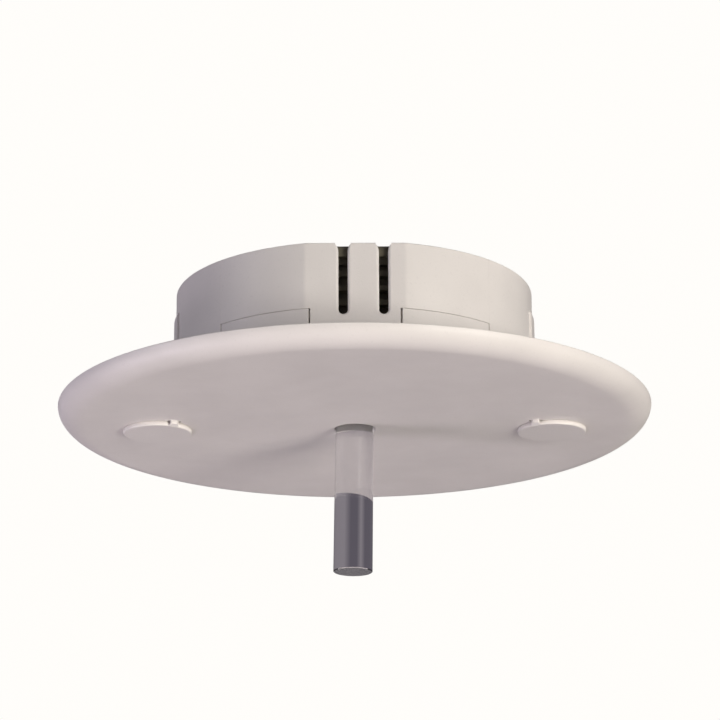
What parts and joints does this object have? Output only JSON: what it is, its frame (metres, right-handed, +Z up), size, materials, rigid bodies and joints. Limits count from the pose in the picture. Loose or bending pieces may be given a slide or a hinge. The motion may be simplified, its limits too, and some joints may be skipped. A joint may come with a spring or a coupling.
{
  "type": "heat detector",
  "caption": "Round flush ceiling heat detector: white trim disc with hinged screw caps, a recessed slotted housing behind it and a clear rod light guide hanging through its centre.",
  "frame": {"origin": "on the detector's axis, in the ceiling plane that the trim disc's rim touches", "axes": "+Z points up into the ceiling, along the detector's axis; -Y is the front, the side with the off-centre pair of slots nearest the viewer; +X completes the right-handed frame, and the two screw caps lie along X"},
  "size_m": [0.155, 0.155, 0.0837],
  "materials": {
    "white_plastic": "fine moulded texture, warm white",
    "dark_plastic": "satin moulded, green-grey black",
    "black_plastic": "satin",
    "clear_acrylic": "clear, polished, with fine length-wise scratches",
    "board_laminate": "solder-masked laminate",
    "terminal_plastic": "satin green",
    "zinc_steel": "bright zinc plate",
    "brass": "tinned and plain brass",
    "aluminium": "satin sheet",
    "grey_foam": "closed-cell foam",
    "black_rubber": "matte",
    "grey_silicone": "soft pad",
    "red_lens": "tinted, translucent",
    "brown_epoxy": "dipped coating",
    "label_film": "blank film"
  },
  "bodies": {
    "trim": {"trim_disc": "white_plastic", "ceiling_gasket": "grey_foam", "heat_collector_plate": "aluminium", "thermal_pad": "grey_silicone", "ceiling_screw_left": "zinc_steel", "ceiling_screw_right": "zinc_steel", "cap_cup_left": "white_plastic", "cap_cup_right": "white_plastic"},
    "housing": {"housing_shell": "white_plastic", "inner_chassis": "dark_plastic", "circuit_board": "board_laminate", "board_screw_1": "zinc_steel", "board_screw_2": "zinc_steel", "board_screw_3": "zinc_steel", "microcontroller": "black_plastic", "electrolytic_capacitor": "black_plastic", "diode_bridge": "black_plastic", "alarm_relay": "black_plastic", "chip_resistor_1": "black_plastic", "chip_capacitor_1": "brown_epoxy", "chip_resistor_2": "black_plastic", "chip_capacitor_2": "brown_epoxy", "indicator_led": "red_lens", "light_guide_socket": "black_plastic", "light_guide_o_ring": "black_rubber", "sensing_thermistor": "brown_epoxy", "reference_thermistor": "brown_epoxy", "rear_cover": "dark_plastic", "rear_cover_screw_1": "zinc_steel", "rear_cover_screw_2": "zinc_steel", "rear_cover_screw_3": "zinc_steel", "terminal_block": "terminal_plastic", "terminal_screw_1": "zinc_steel", "terminal_screw_2": "zinc_steel", "terminal_screw_3": "zinc_steel", "terminal_screw_4": "zinc_steel", "terminal_clamp_1": "brass", "terminal_clamp_2": "brass", "terminal_clamp_3": "brass", "terminal_clamp_4": "brass", "terminal_pin_1": "brass", "terminal_pin_2": "brass", "terminal_pin_3": "brass", "terminal_pin_4": "brass", "cable_clamp": "zinc_steel", "cable_clamp_screw_1": "zinc_steel", "cable_clamp_screw_2": "zinc_steel", "rear_label": "label_film"},
    "cap_left": {"screw_cap_left": "white_plastic"},
    "cap_right": {"screw_cap_right": "white_plastic"},
    "light_guide": {"light_guide": "clear_acrylic"}
  },
  "joints": [
    {"name": "housing_release", "type": "slide", "parent": "trim", "child": "housing", "axis": [0, 0, 1], "range_m": [0, 0.012]},
    {"name": "light_guide_pull", "type": "slide", "parent": "housing", "child": "light_guide", "axis": [0, 0, -1], "range_m": [0, 0.03]},
    {"name": "cap_left_hinge", "type": "hinge", "parent": "trim", "child": "cap_left", "pos_m": [-0.04698, -0.00801, -0.006], "axis": [-0.866, -0.5, 0], "range_deg": [0, 150]},
    {"name": "cap_right_hinge", "type": "hinge", "parent": "trim", "child": "cap_right", "pos_m": [0.04698, -0.00801, -0.006], "axis": [-0.866, 0.5, 0], "range_deg": [0, 150]}
  ]
}
